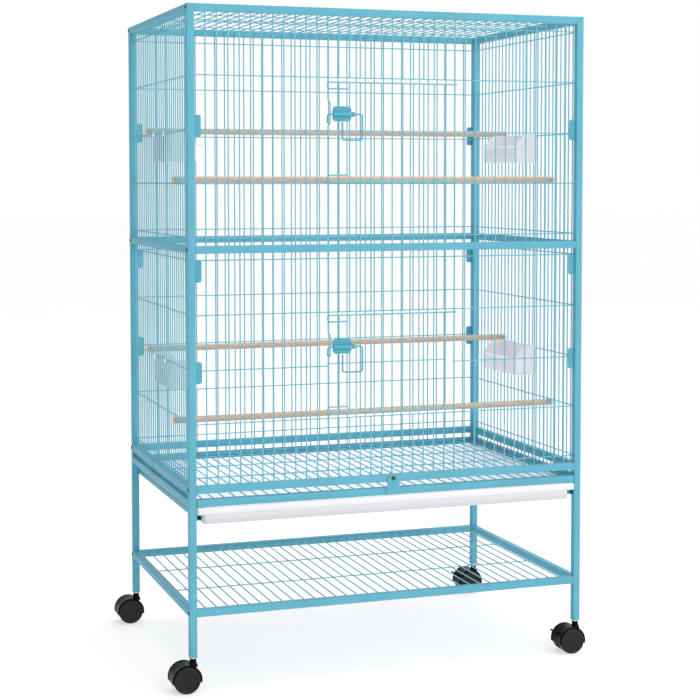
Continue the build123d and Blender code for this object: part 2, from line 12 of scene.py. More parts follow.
import bpy
import numpy as np
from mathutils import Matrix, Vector


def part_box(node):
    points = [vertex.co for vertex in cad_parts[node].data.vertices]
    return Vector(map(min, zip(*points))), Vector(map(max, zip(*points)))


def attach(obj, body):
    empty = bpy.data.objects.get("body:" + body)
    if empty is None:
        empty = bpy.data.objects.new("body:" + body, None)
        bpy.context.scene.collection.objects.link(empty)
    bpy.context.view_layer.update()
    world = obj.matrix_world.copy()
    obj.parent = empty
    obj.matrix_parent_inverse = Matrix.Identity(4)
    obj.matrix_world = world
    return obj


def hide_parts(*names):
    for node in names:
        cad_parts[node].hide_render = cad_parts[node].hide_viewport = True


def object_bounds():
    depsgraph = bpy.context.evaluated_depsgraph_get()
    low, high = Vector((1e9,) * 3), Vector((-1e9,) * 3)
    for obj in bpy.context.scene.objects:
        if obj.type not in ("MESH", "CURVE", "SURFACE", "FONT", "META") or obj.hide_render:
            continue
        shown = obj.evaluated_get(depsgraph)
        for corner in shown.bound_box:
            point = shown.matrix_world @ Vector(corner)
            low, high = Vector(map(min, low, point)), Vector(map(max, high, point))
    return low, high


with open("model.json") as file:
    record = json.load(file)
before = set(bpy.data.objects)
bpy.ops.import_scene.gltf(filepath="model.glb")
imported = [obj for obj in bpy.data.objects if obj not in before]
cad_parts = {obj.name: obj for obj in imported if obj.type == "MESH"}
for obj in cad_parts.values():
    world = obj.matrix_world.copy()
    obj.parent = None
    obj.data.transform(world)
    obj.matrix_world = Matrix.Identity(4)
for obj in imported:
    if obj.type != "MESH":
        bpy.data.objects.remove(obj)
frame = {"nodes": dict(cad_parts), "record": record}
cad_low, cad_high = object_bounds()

record = frame["record"]
BODY_OF = {node: body for body, nodes in record["behaviour"]["bodies"].items() for node in nodes}
MM = 0.001

# %% [markdown]
# ## From arrays to a mesh
# A surface here is always a stack of rings: each ring is the same outline with the same
# number of points, and neighbouring rings are joined by four-sided faces. A tube, a wire,
# a wheel and a rounded box are all that, so one helper builds the faces of any of them. The
# alternative, adding primitives and editing them, hides the dimensions; a stack of rings
# keeps every size in one readable formula.


# %% Rings, caps and pieces
def stack(rings, closed=False):
    """Faces for rings of shape (n, m, 3): ring i joins ring i+1 all the way round. The two end
    rings are closed by strips of quads between the two halves of the outline, or the last ring
    joins the first when closed is true. Outlines run anticlockwise seen from the last ring."""
    rings = np.asarray(rings, float)
    n, m = rings.shape[:2]
    low = np.arange(n if closed else n - 1)[:, None] * m
    high = (low + m) % (n * m)
    here, after = np.arange(m)[None], (np.arange(m)[None] + 1) % m
    sides = np.stack([low + here, low + after, high + after, high + here], -1).reshape(-1, 4)
    if closed:
        return rings.reshape(-1, 3), sides
    i = np.arange(m // 2 - 1)
    cap = np.stack([i, i + 1, m - 2 - i, m - 1 - i], -1)
    top = cap + (n - 1) * m
    return rings.reshape(-1, 3), np.concatenate([sides, cap[:, ::-1], top])


def pile(parts):
    """Several (points, faces) pairs as one pair, with the faces renumbered."""
    counts = np.cumsum([0] + [len(points) for points, _ in parts[:-1]])
    faces = np.concatenate([quads + start for (_, quads), start in zip(parts, counts)])
    return np.concatenate([points for points, _ in parts]), faces


def piece(name, parts, finish, *nodes, sharp=35.0):
    """A mesh object from parts, in metres, that stands for these nodes and rides on their body.
    Edges that turn by more than sharp degrees stay crisp; the rest shade smoothly."""
    points, faces = pile(parts)
    mesh = bpy.data.meshes.new(name)
    mesh.vertices.add(len(points))
    mesh.vertices.foreach_set("co", points.astype(np.float32).ravel())
    mesh.loops.add(faces.size)
    mesh.loops.foreach_set("vertex_index", faces.astype(np.int32).ravel())
    mesh.polygons.add(len(faces))
    mesh.polygons.foreach_set("loop_start", np.arange(len(faces), dtype=np.int32) * 4)
    mesh.update(calc_edges=True)
    mesh.validate()
    mesh.polygons.foreach_set("use_smooth", np.ones(len(faces), bool))
    mesh.set_sharp_from_angle(angle=math.radians(sharp))
    mesh.materials.append(finish)
    made = bpy.data.objects.new(name, mesh)
    bpy.context.scene.collection.objects.link(made)
    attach(made, BODY_OF[nodes[0]])
    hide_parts(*nodes)
    return made


def span(node):
    """A node's lowest and highest corners as numpy arrays."""
    low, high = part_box(node)
    return np.array(low), np.array(high)


# %% [markdown]
# ## Materials
# Every finish is a small node network on Object coordinates, so its grain is fixed to the
# metal at its real scale in metres. Powder coat is not flat: it has a fine orange-peel
# ripple about a millimetre across, and a slightly uneven gloss. Noise drives both, and a
# second, much larger noise shifts the colour by a few percent from one tube to the next.


# %% Material helpers
class Finish:
    """A new material with its shader, and short ways to add noise, a ramp and a bump. Socket
    names are given with _ for a space."""

    def __init__(self, name, **sockets):
        self.material = bpy.data.materials.new(name)
        self.material.use_nodes = True
        self.tree = self.material.node_tree
        self.shader = self.tree.nodes["Principled BSDF"]
        for socket, value in sockets.items():
            self.shader.inputs[socket.replace("_", " ")].default_value = value
        self.place = self.tree.nodes.new("ShaderNodeTexCoord").outputs["Object"]

    def link(self, start, end):
        self.tree.links.new(start, end)

    def node(self, kind, **sockets):
        """A new node of one kind, with these values on its sockets."""
        made = self.tree.nodes.new("ShaderNode" + kind)
        for socket, value in sockets.items():
            made.inputs[socket.replace("_", " ")].default_value = value
        return made

    def stretched(self, scale):
        """Object coordinates stretched by a scale along each axis."""
        mapping = self.node("Mapping", Scale=scale)
        self.link(self.place, mapping.inputs["Vector"])
        return mapping.outputs["Vector"]

    def height(self):
        """Height above the floor in metres."""
        split = self.node("SeparateXYZ")
        self.link(self.place, split.inputs["Vector"])
        return split.outputs["Z"]

    def noise(self, size, detail=2.0, roughness=0.5, place=None):
        """Noise whose patches are about size metres across, as a value near one half."""
        node = self.node("TexNoise", Scale=1 / size, Detail=detail, Roughness=roughness)
        self.link(place or self.place, node.inputs["Vector"])
        return node.outputs["Fac"]

    def between(self, value, low, high, reach=(0.3, 0.7)):
        """A value spread over reach becomes a number, or a colour, between low and high."""
        start, end = reach
        if isinstance(low, (int, float)):
            node = self.node("MapRange", From_Min=start, From_Max=end, To_Min=low, To_Max=high)
            self.link(value, node.inputs["Value"])
            return node.outputs["Result"]
        node = self.node("ValToRGB")
        for stop, where, colour in zip(node.color_ramp.elements, reach, (low, high)):
            stop.position = where
            stop.color = (*colour, 1)
        self.link(value, node.inputs["Fac"])
        return node.outputs["Color"]

    def mix(self, first, second, share=None, kind="MIX"):
        """Two colours blended by share, or wholly when there is no share."""
        node = self.node("Mix")
        node.data_type, node.blend_type = "RGBA", kind
        node.inputs["Factor"].default_value = 1
        for socket, value in (("Factor", share), ("A", first), ("B", second)):
            if value is not None:
                self.link(value, node.inputs[socket])
        return node.outputs["Result"]

    def multiply(self, first, second):
        return self.mix(first, second, kind="MULTIPLY")

    def colour(self, value):
        self.link(value, self.shader.inputs["Base Color"])

    def gloss(self, value):
        self.link(value, self.shader.inputs["Roughness"])

    def bump(self, value, height):
        """Relief of the given height in metres."""
        node = self.node("Bump", Distance=height)
        self.link(value, node.inputs["Height"])
        self.link(node.outputs["Normal"], self.shader.inputs["Normal"])


def shade(colour, by):
    """A colour made lighter or darker by a factor."""
    return tuple(min(1.0, channel * by) for channel in colour)


# %% Powder-coated steel
BLUE = (0.129, 0.425, 0.545)
BLUE_WIRE = (0.186, 0.500, 0.605)
BLUE_FITTING = (0.102, 0.395, 0.510)


def powder_coat(name, blue, ripple, depth):
    """Blue powder coat: two tones over a hand's breadth, an orange-peel ripple of the given
    size and depth in metres, and a roughness that drifts with it."""
    coat = Finish(name, Specular_IOR_Level=0.10)
    wide = coat.between(coat.noise(0.09, 3.0), shade(blue, 0.94), shade(blue, 1.05))
    grain = coat.between(coat.noise(ripple * 0.6, 1.0), (0.95, 0.96, 0.97), (1.0, 1.0, 1.0))
    coat.colour(coat.multiply(wide, grain))
    coat.gloss(coat.between(coat.noise(0.004, 2.0), 0.36, 0.50))
    coat.bump(coat.noise(ripple, 2.0, 0.4), depth)
    return coat.material


tube_coat = powder_coat("blue_tube_coat", BLUE, 0.0013, 0.00010)
wire_coat = powder_coat("blue_wire_coat", BLUE_WIRE, 0.0009, 0.00005)
fitting_coat = powder_coat("blue_fitting_coat", BLUE_FITTING, 0.0011, 0.00008)


# %% [markdown]
# The mouldings are milky feeders, a white tray, and black casters whose wheels shine a
# little more than their housings. Feeders and casters share one recipe of two close tones
# and a fine grain; the feeders also glow a little, a painted light on their shaded sides. The
# tray has its own, with painted light and shade: painted shade darkens its outer wall by
# height, painted light makes its inside, marked by an attribute that the mesh carries, the
# palest part, and the whole moulding glows a little.


# %% Moulded plastics
def moulded(name, dark, light, rough, grain, depth, **sockets):
    """Moulded plastic: a slow drift between two tones, fine mould grain and uneven gloss."""
    plastic = Finish(name, **sockets)
    plastic.colour(plastic.between(plastic.noise(0.05, 3.0), dark, light))
    plastic.gloss(plastic.between(plastic.noise(0.006, 3.0), *rough))
    plastic.bump(plastic.noise(grain, 2.0, 0.6), depth)
    return plastic.material


def tray_plastic():
    """White moulded plastic with painted shade and light: painted shade makes the outer wall darker
    down from the rim, and painted light makes it palest where the mesh's own attribute, inside,
    is 1, over the shade on the floor and inner walls. A little emission is a painted glow, for
    the light that thin white plastic scatters through itself and to lift its shaded parts."""
    # Painted light: the emission makes the tray glow, for light through thin plastic and to lift
    # its shade.
    plastic = Finish(
        "tray_white_plastic", Specular_IOR_Level=0.3, Emission_Strength=0.14,
        Emission_Color=(0.98, 0.97, 1.0, 1.0),
    )
    low, high = span("tray")
    wall_z = low[2] + 4 * MM, high[2] - 6 * MM
    up = plastic.between(plastic.height(), 0.0, 1.0, wall_z)
    # Painted shade: the outer wall is darker further down from the rim, where the rim shades it.
    wall = plastic.between(up, (0.50, 0.495, 0.525), (0.70, 0.695, 0.725), (0.0, 1.0))
    # Painted light: the inside of the pan, floor and inner walls, is made near white over the shade
    # it lies in.
    inside = plastic.node("Attribute")
    inside.attribute_name = "inside"
    painted_light_inside = plastic.node("RGB").outputs["Color"]
    painted_light_inside.default_value = (0.95, 0.94, 0.98, 1.0)
    tone = plastic.mix(wall, painted_light_inside, inside.outputs["Fac"])
    drift = plastic.between(plastic.noise(0.05, 3.0), (0.96, 0.96, 0.96), (1.0, 1.0, 1.0))
    plastic.colour(plastic.multiply(tone, drift))
    plastic.gloss(plastic.between(plastic.noise(0.006, 3.0), 0.34, 0.46))
    plastic.bump(plastic.noise(0.0011, 2.0, 0.6), 4e-5)
    return plastic.material


tray_white = tray_plastic()
# Painted light: the feeders' emission makes them glow, standing in for light through the milky
# plastic and lifting their shaded sides.
feeder_white = moulded(
    "feeder_milky_plastic", (0.52, 0.51, 0.535), (0.59, 0.58, 0.605), (0.20, 0.30), 0.004, 2e-5,
    Emission_Color=(0.95, 0.94, 1.0, 1.0), Emission_Strength=0.25,
)
caster_black = moulded(
    "caster_black_plastic", (0.003, 0.003, 0.003), (0.006, 0.006, 0.006), (0.28, 0.38),
    0.0009, 2e-5, Specular_IOR_Level=0.05,
)
wheel_black = moulded(
    "wheel_black_plastic", (0.008, 0.008, 0.008), (0.013, 0.013, 0.013), (0.26, 0.36), 0.0009, 2e-5,
    Specular_IOR_Level=0.22,
)


# %% [markdown]
# The perches are bare softwood. Noise drawn out along X gives the grain, which needs no
# image of wood and has no seam. The screws and the stems are plated steel, told apart by
# their tones: dark bronze, and bright zinc.


# %% Bare wood and small metal
def dowel_wood():
    """Turned softwood: grain drawn out along X, dark pores and a fine fleck across it."""
    wood = Finish("perch_bare_wood", IOR=1.45)
    along = wood.stretched((0.06, 1.0, 1.0))
    dark, light = (0.53, 0.39, 0.29), (0.71, 0.57, 0.46)
    rings = wood.between(wood.noise(0.0016, 4.0, 0.6, along), dark, light)
    pores, bare = (0.74, 0.72, 0.70), (1.0, 1.0, 1.0)
    fleck = wood.between(wood.noise(0.0022, 3.0, 0.8), pores, bare, (0.34, 0.56))
    wood.colour(wood.multiply(rings, fleck))
    wood.gloss(wood.between(wood.noise(0.003), 0.55, 0.75))
    wood.bump(wood.noise(0.0010, 3.0, 0.6, along), 0.0002)
    return wood.material


def small_metal(name, dark, light, rough, metallic):
    """Plated steel: fine brushing across the grain and a blotchy, slightly worn gloss."""
    metal = Finish(name, Metallic=metallic)
    metal.colour(metal.between(metal.noise(0.0012, 3.0, 0.7), dark, light))
    metal.gloss(metal.between(metal.noise(0.0008, 3.0), *rough))
    metal.bump(metal.noise(0.0004, 2.0), 0.00002)
    return metal.material


perch_wood = dowel_wood()
bronze = small_metal(
    "screw_bronze_plate", (0.08, 0.042, 0.028), (0.17, 0.095, 0.065), (0.28, 0.42), 0.7
)
zinc = small_metal("stem_zinc_plate", (0.72, 0.72, 0.71), (0.86, 0.86, 0.84), (0.22, 0.34), 0.6)
print(len(bpy.data.materials), "materials in the file")

# %% [markdown]
# ## Outlines and rods
# Square tube is bent from flat strip, so its corners are round, with an outside radius of
# about a tenth of its width; that soft corner is what catches a thin line of light. The
# outline below has five points in each corner. A wire is a ten-sided ring carried from one
# end to the other: smooth shading makes it look round, and hundreds of them stay light.

# %% Outlines
AXES = np.eye(3)


def rounded_square(half_u, half_v, radius, steps=5):
    """Points round a rectangle with quarter-circle corners, anticlockwise in (u, v)."""
    turn = np.linspace(0, math.pi / 2, steps)
    arc = np.stack([np.cos(turn), np.sin(turn)], -1) * radius
    corners = []
    for quarter, (su, sv) in enumerate(((1, 1), (-1, 1), (-1, -1), (1, -1))):
        c, s = math.cos(quarter * math.pi / 2), math.sin(quarter * math.pi / 2)
        spun = arc @ np.array([[c, s], [-s, c]])
        corners.append(spun + [su * (half_u - radius), sv * (half_v - radius)])
    return np.concatenate(corners)


def circle(radius, count):
    """Points round a circle, anticlockwise."""
    turn = np.arange(count) * (2 * math.pi / count)
    return np.stack([np.cos(turn), np.sin(turn)], -1) * radius


def carried(outline, axis, centre, reaches):
    """The outline placed across one axis at each reach along it: (n, m, 3). The outline's own
    two axes are the next two of X, Y, Z in turn, so it stays anticlockwise along the axis."""
    u, v = AXES[(axis + 1) % 3], AXES[(axis + 2) % 3]
    flat = outline[:, :1] * u + outline[:, 1:] * v
    centre = np.array(centre, float)
    centre[axis] = 0
    return np.stack([flat + centre + reach * AXES[axis] for reach in reaches])


# %% Square tube
TUBE_CORNER = 1.5 * MM
EDGE = 0.25 * MM


def square_tube(low, high, axis, bore=0.0, corner=TUBE_CORNER):
    """A square tube filling a box along one axis. Its ends are eased by a quarter millimetre;
    with a bore it is open at both ends to that depth."""
    centre, half = (low + high) / 2, (high - low) / 2
    hu, hv = half[(axis + 1) % 3], half[(axis + 2) % 3]
    start, end = low[axis], high[axis]
    outer = rounded_square(hu, hv, corner)
    eased = rounded_square(hu - EDGE, hv - EDGE, corner)
    inner = rounded_square(hu - MM, hv - MM, corner - 0.7 * MM)
    steps = [(eased, start), (outer, start + EDGE), (outer, end - EDGE), (eased, end)]
    if bore:
        steps = [(inner, start + bore), (inner, start), *steps, (inner, end), (inner, end - bore)]
    rings = [carried(outline, axis, centre, [reach])[0] for outline, reach in steps]
    return stack(rings)


tube_size = span("front_top_rail")[1] - span("front_top_rail")[0]
print("square tube", np.round(tube_size[1:] / MM, 1), "mm")

# %% [markdown]
# ## Posts and rails
# Four posts run from the casters to the top. Rails butt against them, and where the round
# corner of a post meets the flat end of a rail there is the thin dark seam that shows on
# the real stand. The posts' feet are closed, because the plug of a caster fills each one.


# %% Build the posts and rails
for side in ("left", "right"):
    for end in ("front", "back"):
        node = f"{end}_{side}_post"
        low, high = span(node)
        piece(f"{node}_tube", [square_tube(low, high, 2)], tube_coat, node)

for node in [name for name in frame["nodes"] if name.endswith("_rail")] + ["grate_bar"]:
    low, high = span(node)
    piece(f"{node}_tube", [square_tube(low, high, 0)], tube_coat, node)

# %% [markdown]
# The side rails and the shelf are each one node of several tubes, so their boxes give the
# outer corners and the tubes are placed inside them, one tube width thick.

# %% Build the side rails, the shelf frame and the runners
TUBE = float(tube_size[1])
FRONT_RAILS = "front_top_rail", "front_middle_rail", "front_lower_rail"
top_rail, middle_rail, lower_rail = (span(node) for node in FRONT_RAILS)
base_rail = span("back_base_rail")
rail_heights = [base_rail[0][2], lower_rail[0][2], middle_rail[0][2], top_rail[0][2]]
for side in ("left", "right"):
    node = f"{side}_side_rails"
    low, high = span(node)
    tubes = []
    for height in rail_heights:
        ends = np.array([low[0], low[1], height]), np.array([high[0], high[1], height + TUBE])
        tubes.append(square_tube(*ends, 1))
    piece(f"{node}_tubes", tubes, tube_coat, node)
    node = f"{side}_runner"
    open_tube = square_tube(*span(node), 1, bore=60 * MM, corner=1.1 * MM)
    piece(f"{node}_tube", [open_tube], tube_coat, node)

low, high = span("shelf_frame")
shelf = []
for x0 in (low[0], high[0] - TUBE):
    box = np.array([x0, low[1] + TUBE, low[2]]), np.array([x0 + TUBE, high[1] - TUBE, high[2]])
    shelf.append(square_tube(*box, 1))
for y0 in (low[1], high[1] - TUBE):
    box = np.array([low[0] + TUBE, y0, low[2]]), np.array([high[0] - TUBE, y0 + TUBE, high[2]])
    shelf.append(square_tube(*box, 0))
piece("shelf_frame_tubes", shelf, tube_coat, "shelf_frame")

# %% [markdown]
# ## Wire panels
# A panel is a row of upright wires, evenly spaced between the posts, with a few level wires
# welded across them. The spacing is worked out from the frame: 36 spaces across the front
# and 28 along a side. All the wires of a panel are computed at once, as one array of
# start points and one of end points.

# %% Straight wires
WIRE, CROSS_WIRE = 2.5 * MM, 2.2 * MM
FRONT_SPACES, SIDE_SPACES = 36, 28
WIRE_SIDES = 10


def wires(starts, ends, diameter):
    """Straight wires between two arrays of points (n, 3), all along one axis: one circle
    outline repeated at both ends of every wire, and the same faces renumbered for each."""
    starts, ends = np.atleast_2d(starts), np.atleast_2d(ends)
    axis = int(np.argmax(np.abs(ends[0] - starts[0])))
    outline = circle(diameter / 2, WIRE_SIDES)
    ring = carried(outline, axis, (0, 0, 0), [0])
    one = stack(np.repeat(ring, 2, 0))[1]
    points = np.stack([starts[:, None] + ring[0], ends[:, None] + ring[0]], 1)
    shift = np.arange(len(starts))[:, None, None] * (2 * WIRE_SIDES)
    return points.reshape(-1, 3), (one[None] + shift).reshape(-1, 4)


def lines(fixed, axis, start, end, other, values):
    """Start and end points of wires along axis, repeated over values of the other axis."""
    points = np.tile(np.asarray(fixed, float), (len(values), 1))
    points[:, other] = values
    starts, ends = points.copy(), points.copy()
    starts[:, axis], ends[:, axis] = start, end
    return starts, ends


post_low, post_high = span("front_left_post")
far_low, far_high = span("back_right_post")
INNER_X = post_high[0], far_low[0]
INNER_Y = post_high[1], far_low[1]
UPRIGHT_X = np.linspace(*INNER_X, FRONT_SPACES + 1)[1:-1]
SIDE_Y = np.linspace(*INNER_Y, SIDE_SPACES + 1)[1:-1]
print("front wires every", round(float(UPRIGHT_X[1] - UPRIGHT_X[0]) / MM, 2), "mm")

# %% [markdown]
# The level wires' heights can't be read off a panel's box, but the frame's mesh of each
# panel holds them: its points at one end of the level wires bunch at each wire's height.


# %% Reading rows from the frame
def node_points(node):
    """The points of a node's own mesh, as an array (n, 3)."""
    mesh = frame["nodes"][node].data
    points = np.empty(len(mesh.vertices) * 3, np.float32)
    mesh.vertices.foreach_get("co", points)
    return points.reshape(-1, 3).astype(float)


def middles(values, gap):
    """The middle of each bunch of values; a step of more than gap starts a new bunch."""
    values = np.sort(values)
    bunches = np.split(values, np.where(np.diff(values) > gap)[0] + 1)
    return np.array([(bunch[0] + bunch[-1]) / 2 for bunch in bunches])


def rows_of(node, axis, where, reach=0.3 * MM, gap=4 * MM):
    """Middles along Z, or Y for a level panel, of the bunches of a node's points that lie
    within reach of where along axis."""
    points = node_points(node)
    near = points[np.abs(points[:, axis] - where) < reach]
    other = 2 if np.ptp(points[:, 2]) > 50 * MM else 1
    return middles(near[:, other], gap)


for node in ("front_upper_mesh", "back_lower_mesh", "roof_mesh", "shelf_mesh"):
    print(node, np.round(rows_of(node, 0, INNER_X[0]) / MM, 1))

# %% [markdown]
# The back and side panels are plain: uprights in the middle of the tube's thickness, and
# level wires on their inner face. They touch where they cross, as welded wires do.

# %% Build the back, side, roof, shelf and base wires
WELD_OFFSET = (WIRE + CROSS_WIRE) / 2 + 0.02 * MM
FRONT_Y, BACK_Y = post_low[1] + TUBE / 2, far_high[1] - TUBE / 2
LEFT_X, RIGHT_X = post_low[0] + TUBE / 2, far_high[0] - TUBE / 2
LOWER_SPAN = lower_rail[1][2], middle_rail[0][2]
UPPER_SPAN = middle_rail[1][2], top_rail[0][2]
BASE_SPAN = base_rail[1][2], lower_rail[0][2]
SPANS = {"lower": LOWER_SPAN, "upper": UPPER_SPAN}


def wall_panel(axis, wall, inward, span_z, rows):
    """Uprights along a wall that runs along axis, and level wires inward of them."""
    places, ends = (UPRIGHT_X, INNER_X) if axis == 0 else (SIDE_Y, INNER_Y)
    fixed, level = np.zeros(3), np.zeros(3)
    fixed[1 - axis], level[1 - axis] = wall, wall + inward * WELD_OFFSET
    uprights = wires(*lines(fixed, 2, *span_z, axis, places), WIRE)
    if not len(rows):
        return [uprights]
    return [uprights, wires(*lines(level, axis, *ends, 2, rows), CROSS_WIRE)]


for level, span_z in SPANS.items():
    node = f"back_{level}_mesh"
    rows = rows_of(node, 0, INNER_X[0])
    piece(f"{node}_wires", wall_panel(0, BACK_Y, -1, span_z, rows), wire_coat, node)
    for side, wall, inward in (("left", LEFT_X, 1), ("right", RIGHT_X, -1)):
        node = f"{side}_{level}_mesh"
        rows = rows_of(node, 1, INNER_Y[0])
        piece(f"{node}_wires", wall_panel(1, wall, inward, span_z, rows), wire_coat, node)

short = wall_panel(0, BACK_Y, -1, BASE_SPAN, [])
for wall in (LEFT_X, RIGHT_X):
    short += wall_panel(1, wall, 1, BASE_SPAN, [])
piece("base_gap_wires", short, wire_coat, "base_wires")


def level_net(z, columns, ends_y, rows, ends_x):
    """Wires from front to back at height z, with cross wires just under them."""
    deep = wires(*lines((0, 0, z), 1, *ends_y, 0, columns), WIRE)
    return [deep, wires(*lines((0, 0, z - WELD_OFFSET), 0, *ends_x, 1, rows), CROSS_WIRE)]


for node in ("roof_mesh", "shelf_mesh"):
    z = span(node)[1][2] - WIRE / 2
    rows = rows_of(node, 0, INNER_X[0])
    net = level_net(z, UPRIGHT_X, INNER_Y, rows, INNER_X)
    piece(f"{node}_wires", net, wire_coat, node)

# %% [markdown]
# The grate is a frame of its own that lies over the tray: its outermost wires run just
# inside the side rails, and its last cross wire closes it at the back.

# %% Build the grate
low, high = span("grate_mesh")
grate_ends = low[0] + WIRE / 2, high[0] - WIRE / 2
columns = np.concatenate([[grate_ends[0]], UPRIGHT_X, [grate_ends[1]]])
rows = low[1] + (high[1] - low[1]) * np.array([0.25, 0.5, 0.75])
rows = np.append(rows, high[1] - WIRE)
net = level_net(high[2] - WIRE / 2, columns, (low[1], high[1]), rows, grate_ends)
piece("grate_wires", net, wire_coat, "grate_mesh")

# %% [markdown]
# ## Bent wire
# The door bars, the catch and the latches are spring wire bent round a mandrel, so every
# corner is an arc. A path of straight runs gets its corners rounded first, and then a ring
# is carried along it. Each ring needs a side direction; in a flat path that is simply the
# normal of the plane, which never twists.


# %% Rounded paths and sweeps
def rounded(corners, radius, steps=7):
    """A path through corners (n, 3) whose inner corners are arcs of one radius."""
    corners = np.asarray(corners, float)
    path = [corners[0]]
    for before, corner, after in zip(corners, corners[1:], corners[2:]):
        a = (before - corner) / np.linalg.norm(before - corner)
        b = (after - corner) / np.linalg.norm(after - corner)
        half = math.acos(float(np.clip(a @ b, -1, 1))) / 2
        middle = corner + (a + b) / np.linalg.norm(a + b) * radius / math.sin(half)
        first = corner + a * radius / math.tan(half) - middle
        last = corner + b * radius / math.tan(half) - middle
        turn = math.pi - 2 * half
        part = np.linspace(0, 1, steps)[:, None]
        blend = np.sin((1 - part) * turn) * first + np.sin(part * turn) * last
        path.extend(middle + blend / math.sin(turn))
    path.append(corners[-1])
    return np.array(path)


def swept(path, side, diameter, sides=12):
    """A ring carried along path (n, 3). side is a direction across the path, one for the
    whole path or one for each point; the ring's other direction is path direction x side."""
    path = np.asarray(path, float)
    along = np.gradient(path, axis=0)
    along /= np.linalg.norm(along, axis=1, keepdims=True)
    side = np.broadcast_to(np.asarray(side, float), path.shape)
    other = np.cross(along, side)
    other /= np.linalg.norm(other, axis=1, keepdims=True)
    flat = circle(0.5, sides)
    width = np.broadcast_to(np.asarray(diameter, float), len(path))[:, None, None]
    ring = flat[None, :, :1] * side[:, None] + flat[None, :, 1:] * other[:, None]
    return stack(path[:, None] + ring * width)


# %% [markdown]
# ## Front panels with a door opening
# The uprights stop at the level wires above and below the door, the level wires in between
# stop at its sides, and the upright beside the latch bows out so that the hook can catch it.

# %% Build the front panels
SPRING = 3.0 * MM
CATCH_WIRE, HINGE_WIRE = 11, 23
CATCH_BOW, CATCH_RISE = (3.0 * MM, 3.8 * MM), 6.0 * MM
CATCH_BELOW, CATCH_ABOVE = 22 * MM, 27 * MM


def catch(x, span_z, latch_z):
    """The bowed upright: straight, out and to the right past the latch rod, and back."""
    aside, out = CATCH_BOW
    low, high = latch_z - CATCH_BELOW, latch_z + CATCH_ABOVE
    home = np.array([x, FRONT_Y])
    bowed = home + [aside, -out]
    heights = (span_z[0], low, low + CATCH_RISE, high - CATCH_RISE, high, span_z[1])
    places = (home, home, bowed, bowed, home, home)
    corners = [(*place, z) for place, z in zip(places, heights)]
    across = np.array([out, aside, 0]) / math.hypot(out, aside)
    return swept(rounded(corners, 4 * MM), across, WIRE, WIRE_SIDES)


def front_panel(level):
    """Uprights and level wires round the door opening of one front panel."""
    span_z = SPANS[level]
    rows = rows_of(f"front_{level}_mesh", 0, INNER_X[0])
    door_low, door_high = (corner[2] for corner in span(f"{level}_door"))
    below, above = rows[rows < door_low].max(), rows[rows > door_high].min()
    catch_x, hinge_x = UPRIGHT_X[CATCH_WIRE], UPRIGHT_X[HINGE_WIRE]
    latch_z = span(f"{level}_latch")[1][2] - SPRING / 2
    cut = UPRIGHT_X[CATCH_WIRE + 1 : HINGE_WIRE]
    whole = np.concatenate([UPRIGHT_X[:CATCH_WIRE], UPRIGHT_X[HINGE_WIRE:]])
    fixed, level_at = (0, FRONT_Y, 0), (0, FRONT_Y + WELD_OFFSET, 0)
    split = rows[(rows > below) & (rows < above)]
    full = rows[(rows <= below) | (rows >= above)]
    half = CROSS_WIRE / 2
    return [
        wires(*lines(fixed, 2, *span_z, 0, whole), WIRE),
        wires(*lines(fixed, 2, span_z[0], below + half, 0, cut), WIRE),
        wires(*lines(fixed, 2, above - half, span_z[1], 0, cut), WIRE),
        wires(*lines(level_at, 0, *INNER_X, 2, full), CROSS_WIRE),
        wires(*lines(level_at, 0, INNER_X[0], catch_x + WIRE / 2, 2, split), CROSS_WIRE),
        wires(*lines(level_at, 0, hinge_x - WIRE / 2, INNER_X[1], 2, split), CROSS_WIRE),
        catch(catch_x, span_z, latch_z),
    ]


for level in SPANS:
    piece(f"front_{level}_wires", front_panel(level), wire_coat, f"front_{level}_mesh")

# %% [markdown]
# ## Doors
# A door's top and bottom bars are hairpins: at the free edge the wire turns back on itself
# so that no sharp end faces the hand, and at the hinge it winds round a panel wire. The
# door's short wires lie behind the bars, and one thin level wire crosses them.


# %% Build the doors
RETURN_LEG, DROP = 34 * MM, 12 * MM
BEHIND_BARS, PAST_BARS = 2.8 * MM, 1.2 * MM
LEVEL_WIRE_UP = 93.5 * MM


def hairpin(free_x, hinge_x, bar_y, z, drop):
    """Return leg at height z + drop, a half-circle at the free edge, the bar at height z, and
    an arc of 225 degrees round the hinge wire."""
    bend_r = abs(drop) / 2
    turn = np.linspace(0, math.pi, 15)[:, None]
    turn_x = free_x + bend_r
    bend = (turn_x, bar_y, z + drop / 2) + np.cos(turn) * (0, 0, drop / 2)
    bend -= np.sin(turn) * (bend_r, 0, 0)
    leg = [(turn_x + RETURN_LEG, bar_y, z + drop)]
    bar = np.linspace((turn_x + MM, bar_y, z), (hinge_x - 0.5 * MM, bar_y, z), 6)
    wind = np.radians(np.linspace(-90, 135, 22))[:, None]
    out = np.cos(wind) * AXES[0] + np.sin(wind) * AXES[1]
    loop = (hinge_x, FRONT_Y, z) + (FRONT_Y - bar_y) * out
    path = np.concatenate([leg, bend, bar, loop])
    side = np.concatenate([np.tile(AXES[1], (len(path) - len(out), 1)), -out])
    return swept(path, side, SPRING)


